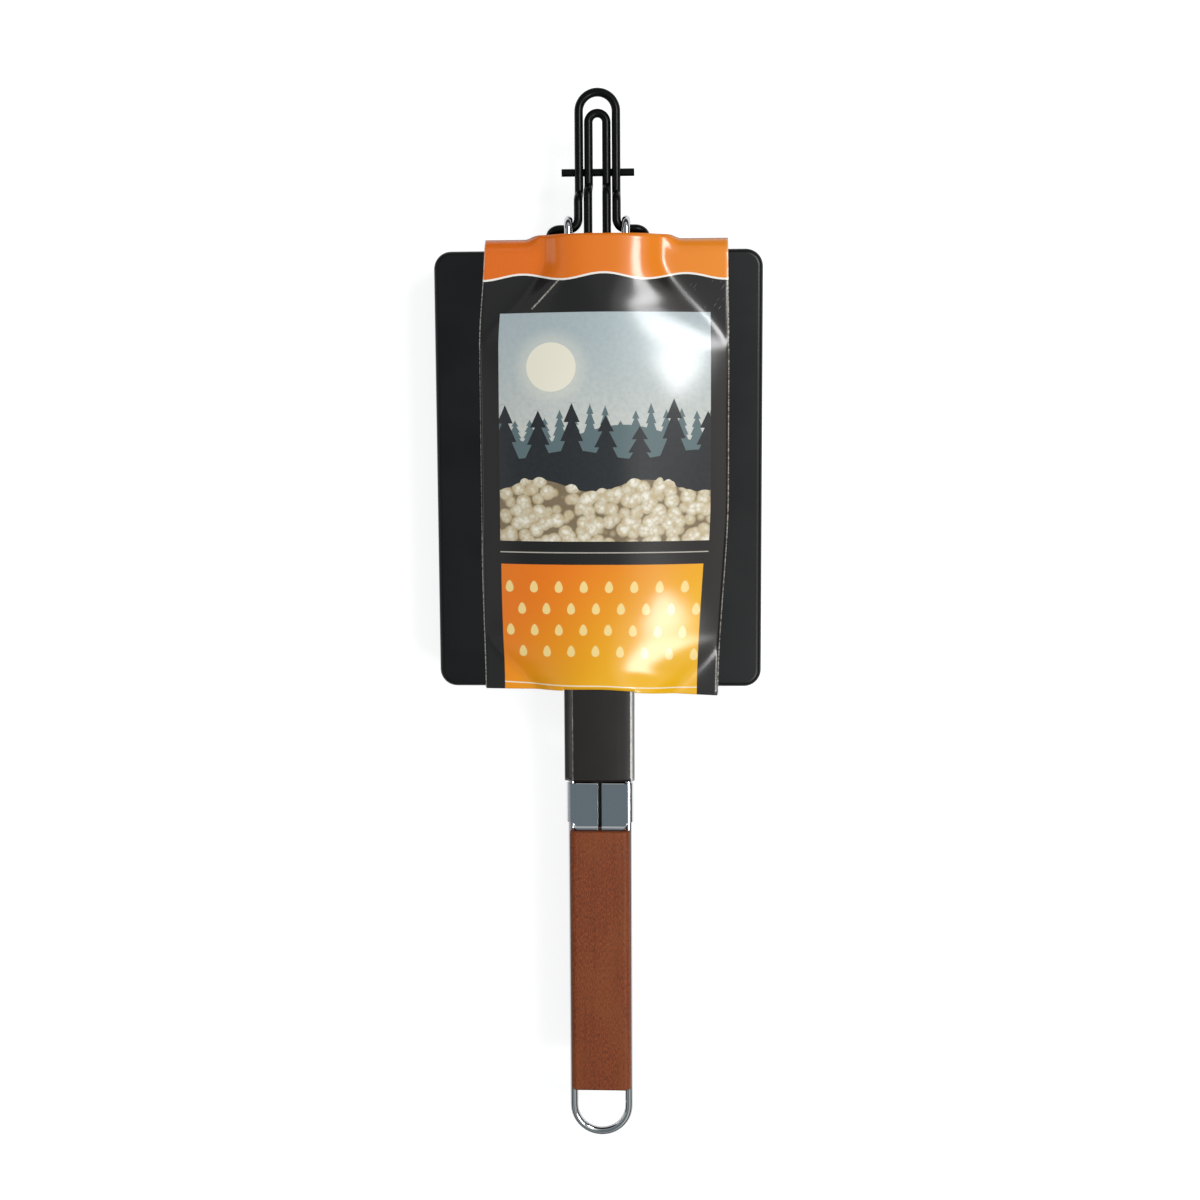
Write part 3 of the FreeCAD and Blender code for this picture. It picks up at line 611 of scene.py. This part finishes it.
def smooth(value, low, high):
    """0 at low, 1 at high, with soft ends."""
    part = min(max((value - low) / (high - low), 0.0), 1.0)
    return part * part * (3 - 2 * part)


def new_piece(name, mesh, body, slot, *materials):
    """Links a mesh as a piece of the object that moves with a body."""
    for material in materials:
        mesh.materials.append(material)
    mesh.shade_smooth()
    piece = bpy.data.objects.new(name, mesh)
    bpy.context.scene.collection.objects.link(piece)
    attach(piece, body)
    return piece


def grid_mesh(name, rows, keep=None, flat_rows=None):
    """A sheet through rows of points in millimetres. keep(row, column) is False where a face is left out.

    flat_rows gives each point's place on the flat sheet, for its print.
    """
    width = len(rows[0])
    faces = []
    for i in range(len(rows) - 1):
        for j in range(width - 1):
            if keep is None or keep(i, j):
                low = i * width + j
                faces.append((low, low + 1, low + width + 1, low + width))
    used = sorted({index for face in faces for index in face})
    number = {index: count for count, index in enumerate(used)}
    points = [point for row in rows for point in row]
    points = [tuple(MM * value for value in points[index]) for index in used]
    faces = [tuple(number[index] for index in face) for face in faces]
    mesh = bpy.data.meshes.new(name)
    mesh.from_pydata(points, [], faces)
    if flat_rows:
        flat = [place_at for row in flat_rows for place_at in row]
        layer = mesh.uv_layers.new(name="sheet")
        for loop in mesh.loops:
            u, v = flat[used[loop.vertex_index]]
            layer.data[loop.index].uv = (u * MM, v * MM)
    return mesh


def thicken(piece, thickness, offset=0.0, other_material=0):
    """Gives a sheet its thickness, with the second material on its inner side and its cut edges."""
    solid = piece.modifiers.new("sheet", "SOLIDIFY")
    solid.thickness = thickness * MM
    solid.offset = offset
    solid.use_even_offset = True
    solid.material_offset = other_material
    solid.material_offset_rim = other_material


def soften_edges(piece, width, angle=30.0):
    """Rounds the sharp edges and keeps the flats flat."""
    bevel = piece.modifiers.new("edges", "BEVEL")
    bevel.width = width * MM
    bevel.segments = 3
    bevel.limit_method = "ANGLE"
    bevel.angle_limit = math.radians(angle)
    bevel.harden_normals = True


def card_left(y):
    return -68.9 + 3.9 * smooth(y, 70.0, 135.0) + 1.3 * smooth(-y, 50.0, 130.0)


def card_right(y):
    return 75.6 - 0.8 * smooth(y, 60.0, 135.0) - 5.9 * smooth(-y, 10.0, 130.0)


def crease_dip(x, y):
    """How far the diagonal crease sinks the sheet."""
    run = CREASE_END - CREASE_START
    along = min(max((Vector((x, y)) - CREASE_START).dot(run) / run.length_squared, 0.0), 1.0)
    offset = (Vector((x, y)) - (CREASE_START + run * along)).length
    fade = 1 - smooth(abs(along - 0.5), 0.3, 0.5)
    return CREASE_DEPTH * (1 - smooth(offset, 0.0, CREASE_HALF_WIDTH)) * fade


def card_rise(x, y):
    """Height of the sheet above its side edges: a narrow arch at both ends that opens into a broad bow."""
    from_middle = abs(x - CARD_MIDDLE_X)
    half = max(card_right(y) - CARD_MIDDLE_X, CARD_MIDDLE_X - card_left(y))
    from_upper = (CARD_BOX_Y[1] - y - CARD_UPPER_STRAIGHT) / CARD_UPPER_OPENS_OVER
    from_lower = (y - CARD_BOX_Y[0] - CARD_LOWER_STRAIGHT) / CARD_LOWER_OPENS_OVER
    end_foot = CARD_UPPER_FOOT if from_upper < from_lower else CARD_LOWER_FOOT
    from_end = min(from_upper, from_lower)
    opening = smooth(from_end, 0.0, 1.0)
    power = CARD_END_POWER + (CARD_FLANK_POWER - CARD_END_POWER) * smooth(from_end, 0.0, 0.5)
    power += (CARD_MIDDLE_POWER - CARD_FLANK_POWER) * smooth(from_end, 0.9, 1.6)
    reach = math.hypot(end_foot + (half - end_foot) * opening, CARD_CROWN_ROUNDING) - CARD_CROWN_ROUNDING
    from_crown = math.hypot(from_middle, CARD_CROWN_ROUNDING) - CARD_CROWN_ROUNDING
    arch = 1 - (from_crown / reach) ** power
    foot = CARD_FOOT_ROUNDING / CARD_CROWN_RISE * (1 - opening)
    arch = (arch + math.hypot(arch, foot)) / (1 + math.hypot(1, foot))
    ripple = CARD_WAVE * space_noise.noise(Vector((x / 34, y / 41, 0.3))) - crease_dip(x, y)
    crown = CARD_CROWN_RISE - CARD_UPPER_SAG * smooth(-from_upper * CARD_UPPER_OPENS_OVER, -70.0, 13.0)
    return crown * arch + ripple * min(1.0, arch / 0.3)


def card_end_shift(x):
    """How far the lower end lies from a straight line across: pulled back over the handle, and askew."""
    slope = CARD_LEFT_SLANT if x < CARD_MIDDLE_X else CARD_RIGHT_SLANT
    pull = CARD_END_PULL * math.exp(-((x - CARD_MIDDLE_X) / CARD_END_PULL_WIDTH) ** 2)
    return slope * (CARD_MIDDLE_X - x) + pull


def card_droop(x, y):
    """A point's new y near the upper end, and how far it sinks, where the sides bend over the pan's edge."""
    run = y - CARD_DROOP_FROM_Y
    turn = run / CARD_DROOP_RADIUS * smooth(abs(x - CARD_MIDDLE_X), 35.0, 45.0)
    if run <= 0 or turn < 1e-4:
        return y, 0.0
    return CARD_DROOP_FROM_Y + run * math.sin(turn) / turn, run * (1 - math.cos(turn)) / turn


def card_section(y, edge_z, parts):
    """Points (x, z, part) across the card: a flap, the fold, the bowed top, the other fold and its flap."""
    left, right = card_left(y), card_right(y)
    radius = CARD_FOLD_RADIUS
    middle_z = edge_z - radius
    turns = [math.radians(-90 - 30 * i) for i in range(6)]
    left_side = [(left + CARD_FLAP, edge_z - 2 * radius)]
    for turn in turns:
        left_side.append((left + radius * (1 + math.cos(turn)), middle_z + radius * math.sin(turn)))
    right_side = [(left + right - x, z) for x, z in reversed(left_side)]
    section = [(x, z, 0.0) for x, z in left_side]
    for part in parts:
        x = left + radius + part * (right - left - 2 * radius)
        section.append((x, edge_z + card_rise(x, y), part))
    return section + [(x, z, 1.0) for x, z in right_side]


def make_card_panel(printed, board):
    low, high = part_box("card_panel")
    edge_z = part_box("pan_shell")[1].z / MM + CARD_EDGE_ABOVE_PAN
    low_y, high_y, lip_z = low.y / MM, high.y / MM, low.z / MM
    fold = CARD_LIP_FOLD_RADIUS
    left, right = card_left(low_y) + CARD_FOLD_RADIUS, card_right(low_y) - CARD_FOLD_RADIUS
    notch = [(side * NOTCH_HALF - left) / (right - left) for side in (-1, 1)]
    parts = sorted([i / 72 for i in range(73)] + notch)
    side_points = 7
    length_rows = 110
    fold_turns = [math.radians(18 * i) for i in range(1, 6)]
    lip_parts = [i / 5 for i in range(1, 6)]
    rows, flat_rows = [], []
    for i in range(length_rows + 1):
        y = high_y + (low_y + fold - high_y) * i / length_rows
        row, flat = [], []
        for x, z, part in card_section(y, edge_z, parts):
            bent_y, sink = card_droop(x, y + card_end_shift(x) * smooth(-y, 60.0, 129.0))
            row.append((x, bent_y, z - sink))
            flat.append((CARD_MIDDLE_X + CARD_HALF_WIDTH * (2 * part - 1), y))
        rows.append(row)
        flat_rows.append(flat)
    last, last_flat = rows[-1], flat_rows[-1]
    for turn in fold_turns:
        rows.append([(x, y - fold * math.sin(turn), z - fold * (1 - math.cos(turn))) for x, y, z in last])
        flat_rows.append([(u, v - fold * turn) for u, v in last_flat])
    for part in lip_parts:
        row = [(x, y - fold, (z - fold) * (1 - part) + lip_z * part) for x, y, z in last]
        rows.append(row)
        flat_rows.append([(u, v - 2 * fold - 16 * part) for u, v in last_flat])
    notch_columns = [side_points + parts.index(part) for part in notch]

    def keep(i, j):
        if i < length_rows:
            return True
        on_side = j < side_points or j >= len(rows[0]) - side_points - 1
        in_notch = notch_columns[0] <= j < notch_columns[1]
        return not on_side and not in_notch

    mesh = grid_mesh("card_front", rows, keep, flat_rows)
    piece = new_piece("card_front", mesh, "card", "printed_card", printed, board)
    mesh.flip_normals()
    thicken(piece, CARD_SHEET, 0.0, 1)
    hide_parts("card_panel")


def rounded_path(points, radius, steps=5):
    """The path through the points in a plane, with its corners rounded."""
    path = [points[0]]
    for before, corner, after in zip(points, points[1:], points[2:]):
        start = corner + (before - corner).normalized() * min(radius, 0.5 * (before - corner).length)
        end = corner + (after - corner).normalized() * min(radius, 0.5 * (after - corner).length)
        for i in range(steps + 1):
            t = i / steps
            path.append(start * (1 - t) ** 2 + corner * 2 * t * (1 - t) + end * t ** 2)
    return path + [points[-1]]


def make_card_tongue(brown, board):
    low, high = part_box("card_tongue")
    half = high.x / MM - 0.5 * CARD_SHEET
    top, foot = high.z / MM - 0.5 * CARD_SHEET, low.z / MM
    fold_z, shoulder_z = top - TONGUE_FOLD_DROP, top - TONGUE_SHOULDER_DROP
    span = TONGUE_RIGHT_FOLD_X - TONGUE_LEFT_FOLD_X
    outline = [Vector((-half, foot)), Vector((-half, shoulder_z))]
    for i in range(9):
        part = i / 8
        bow = 4 * part * (1 - part)
        outline.append(Vector((TONGUE_LEFT_FOLD_X + span * part, fold_z + TONGUE_FOLD_DROP * bow)))
    outline += [Vector((half, shoulder_z)), Vector((half, foot))]
    section = rounded_path(outline, TONGUE_FOLD_RADIUS)
    start_y, end_y = high.y / MM + TONGUE_UNDER_CARD, low.y / MM + TONGUE_SHORTER
    rows = []
    for i in range(31):
        y = start_y + (end_y - start_y) * i / 30
        row = []
        for point in section:
            sway = 0.10 * space_noise.noise(Vector((point.x / 15, y / 18, 5.0)))
            row.append((point.x, y, point.y + sway - 0.1))
        rows.append(row)
    mesh = grid_mesh("card_tongue_sheet", rows)
    mesh.flip_normals()
    piece = new_piece("card_tongue_sheet", mesh, "card", "brown_card", brown, board)
    thicken(piece, CARD_SHEET, 0.0, 1)
    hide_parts("card_tongue")


def make_sleeve(outer, inner):
    """The split sleeve: a bent sheet with a slot in front, and end flaps whose front lips curve up."""
    low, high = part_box("sliding_sleeve")
    half_sheet = 0.5 * SLEEVE_SHEET
    half_x = high.x / MM - half_sheet
    back_z = low.z / MM + half_sheet
    centre_z = node_middle("wood_grip").z / MM
    half_z = centre_z - back_z
    start_y, flap_end_y = high.y / MM, low.y / MM
    tube_end_y = flap_end_y + SLEEVE_FLAP_LENGTH
    radius = min(SLEEVE_CORNER, half_z)
    corner = Vector((half_x - SLEEVE_CORNER, half_z - radius))
    front_x = [SLEEVE_SLOT_HALF + (SLEEVE_FLAP_HALF - SLEEVE_SLOT_HALF) * i / 14 for i in range(15)]
    half = [(x, half_z) for x in front_x]
    for i in range(13):
        turn = math.radians(90 - 15 * i)
        side = 1 if math.sin(turn) >= 0 else -1
        half.append((corner.x + radius * math.cos(turn), side * corner.y + radius * math.sin(turn)))
    half += [(x, -half_z) for x in reversed(front_x)]
    path = [(x, z) for x, z in half] + [(-x, z) for x, z in reversed(half)]
    tube_rows, flap_rows = 12, 8
    rows = []
    for i in range(tube_rows + 1):
        y = start_y + (tube_end_y - start_y) * i / tube_rows
        rows.append([(x, y, centre_z + z) for x, z in path])
    for i in range(1, flap_rows + 1):
        row = []
        for x, z in path:
            past_corner = max(0.0, abs(x) - (SLEEVE_FLAP_HALF - SLEEVE_FLAP_CORNER))
            inset = SLEEVE_FLAP_CORNER - math.sqrt(max(0.0, SLEEVE_FLAP_CORNER ** 2 - past_corner ** 2))
            run = (SLEEVE_FLAP_LENGTH - inset) * i / flap_rows
            rise = SLEEVE_LIP_RISE * smooth(run, SLEEVE_FLAP_LENGTH - SLEEVE_LIP_LENGTH, SLEEVE_FLAP_LENGTH)
            row.append((x, tube_end_y - run, centre_z + z + (rise if z > 0 else 0.0)))
        rows.append(row)
    reach = SLEEVE_FLAP_HALF + 0.01

    def keep(i, j):
        return i < tube_rows or max(abs(path[j][0]), abs(path[j + 1][0])) < reach

    mesh = grid_mesh("sleeve_sheet", rows, keep)
    mesh.flip_normals()
    piece = new_piece("sleeve_sheet", mesh, "sleeve", "chromed_sheet", outer, inner)
    thicken(piece, SLEEVE_SHEET, 0.0, 1)
    piece.modifiers["sheet"].material_offset_rim = 0
    soften_edges(piece, SLEEVE_EDGE_ROUND, 50.0)
    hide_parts("sliding_sleeve")


def make_weld_beads(material):
    """Small lumps of weld under the coat where the cross bar meets the loops' wires."""
    bar_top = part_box("cross_bar")[1].z / MM
    bar_y = node_middle("cross_bar").y / MM
    builder = bmesh.new()
    outer_x, inner_x = LOOP_LEGS
    for leg in (-outer_x, -inner_x, inner_x, outer_x):
        for side in (-1, 1):
            lump = bmesh.ops.create_icosphere(builder, subdivisions=3, radius=1.0)
            for vert in lump["verts"]:
                place_at = Vector([BEAD_HALF[k] * vert.co[k] for k in range(3)])
                centre = Vector((leg, bar_y + side * BEAD_OFF_BAR, bar_top - BEAD_SINK))
                swell = 1 + BEAD_UNEVENNESS * space_noise.noise(centre + 0.9 * place_at)
                vert.co = (centre + place_at * swell) * MM
    mesh = bpy.data.meshes.new("weld_beads")
    builder.to_mesh(mesh)
    builder.free()
    new_piece("weld_beads", mesh, "pan", "black_coated_wire", material)


def make_world():
    """White to the camera. Gloss sees a grey horizon, a dark band, a bright ring and a striped overhead."""
    world = bpy.data.worlds.new("studio")
    bpy.context.scene.world = world
    world.use_nodes = True
    tree = world.node_tree
    tree.nodes.clear()
    direction = tree.nodes.new("ShaderNodeTexCoord").outputs["Generated"]
    side, _, height = axes(tree, direction)
    ring = mix_color(tree, ramp(tree, side, -0.5, 0.5), SKY_RING_LEFT, SKY_RING_RIGHT)
    color = mix_color(tree, ramp(tree, height, *SKY_BAND_STARTS), SKY_HORIZON, SKY_DARK_BAND)
    color = mix_color(tree, ramp(tree, height, *SKY_RING_STARTS), color, ring)
    overhead = mix_color(tree, ramp(tree, side, *SKY_STRIPE_STARTS), SKY_OVERHEAD_LEFT, SKY_STRIPE)
    overhead = mix_color(tree, ramp(tree, side, *SKY_STRIPE_ENDS), overhead, SKY_OVERHEAD_RIGHT)
    color = mix_color(tree, ramp(tree, height, *SKY_OVERHEAD_STARTS), color, overhead)
    rays = tree.nodes.new("ShaderNodeLightPath").outputs
    seen = calc(tree, "MAXIMUM", rays["Is Camera Ray"], rays["Is Transmission Ray"])
    color = mix_color(tree, seen, color, (1, 1, 1, 1))
    background = add_node(tree, "ShaderNodeBackground", {"Color": color, "Strength": 1.0})
    output = tree.nodes.new("ShaderNodeOutputWorld")
    tree.links.new(background.outputs[0], output.inputs["Surface"])


def make_floor():
    """A plain white floor that stays white and keeps a soft shadow."""
    half = FLOOR_SIZE / 2
    corners = [(-half, -half, 0), (half, -half, 0), (half, half, 0), (-half, half, 0)]
    mesh = bpy.data.meshes.new("floor")
    mesh.from_pydata(corners, [], [(0, 1, 2, 3)])
    floor = bpy.data.objects.new("floor", mesh)
    floor.location.z = -0.05 * MM
    bpy.context.scene.collection.objects.link(floor)
    matt = {"Base_Color": FLOOR_COLOR, "Roughness": 1.0, "Specular_IOR_Level": 0.0}
    material, tree, shader = new_material("floor_white", Emission_Color=(1, 1, 1, 1), **matt)
    rays = tree.nodes.new("ShaderNodeLightPath").outputs
    seen = calc(tree, "MAXIMUM", rays["Is Camera Ray"], rays["Is Glossy Ray"])
    seen = calc(tree, "MAXIMUM", seen, rays["Is Transmission Ray"])
    glow = calc(tree, "MULTIPLY", seen, FLOOR_LIFT)
    tree.links.new(glow, shader.inputs["Emission Strength"])
    mesh.materials.append(material)


def add_softbox(name, place_at, aim, size, power):
    light = bpy.data.lights.new(name, "AREA")
    light.shape = "RECTANGLE"
    light.size, light.size_y = size
    light.energy = power
    lamp = bpy.data.objects.new(name, light)
    lamp.location = place_at
    lamp.rotation_euler = (Vector(aim) - Vector(place_at)).to_track_quat("-Z", "Y").to_euler()
    bpy.context.scene.collection.objects.link(lamp)


def make_camera():
    turn = Euler((CAMERA_PITCH, 0, 0)).to_matrix()
    turn = Euler((0, 0, CAMERA_ROLL)).to_matrix() @ turn @ Euler((0, CAMERA_YAW, 0)).to_matrix()
    to_camera = turn.to_4x4()
    to_camera.translation = CAMERA_SHIFT
    data = bpy.data.cameras.new("camera")
    data.sensor_width = SENSOR_WIDTH
    data.lens = SENSOR_WIDTH * CAMERA_FOCUS_PIXELS / IMAGE_PIXELS
    camera = bpy.data.objects.new("camera", data)
    camera.matrix_world = to_camera.inverted()
    bpy.context.scene.collection.objects.link(camera)
    bpy.context.scene.camera = camera


def main():
    bpy.context.scene.view_settings.view_transform = "Standard"
    make_camera()
    make_world()
    make_floor()
    for lamp in LAMPS:
        add_softbox(*lamp)
    board = raw_board()
    sheet_chrome = chrome("sheet_chrome", SHEET_CHROME)
    finishes = {
        "black_coated_steel": coated_steel(),
        "black_coated_wire": coated_wire(),
        "chromed_wire": chrome("wire_chrome", WIRE_CHROME),
        "chromed_sheet": sheet_chrome,
        "steel_pin": steel_pin(),
        "grip_wood": grip_wood(),
        "printed_card": board,
        "brown_card": board,
    }
    for part in frame["record"]["subparts"]:
        show_node(part["node"], finishes[part["material_slot"]])
    make_card_panel(printed_card(), board)
    make_card_tongue(brown_card(), board)
    make_sleeve(sheet_chrome, dull_steel())
    make_weld_beads(finishes["black_coated_wire"])


main()
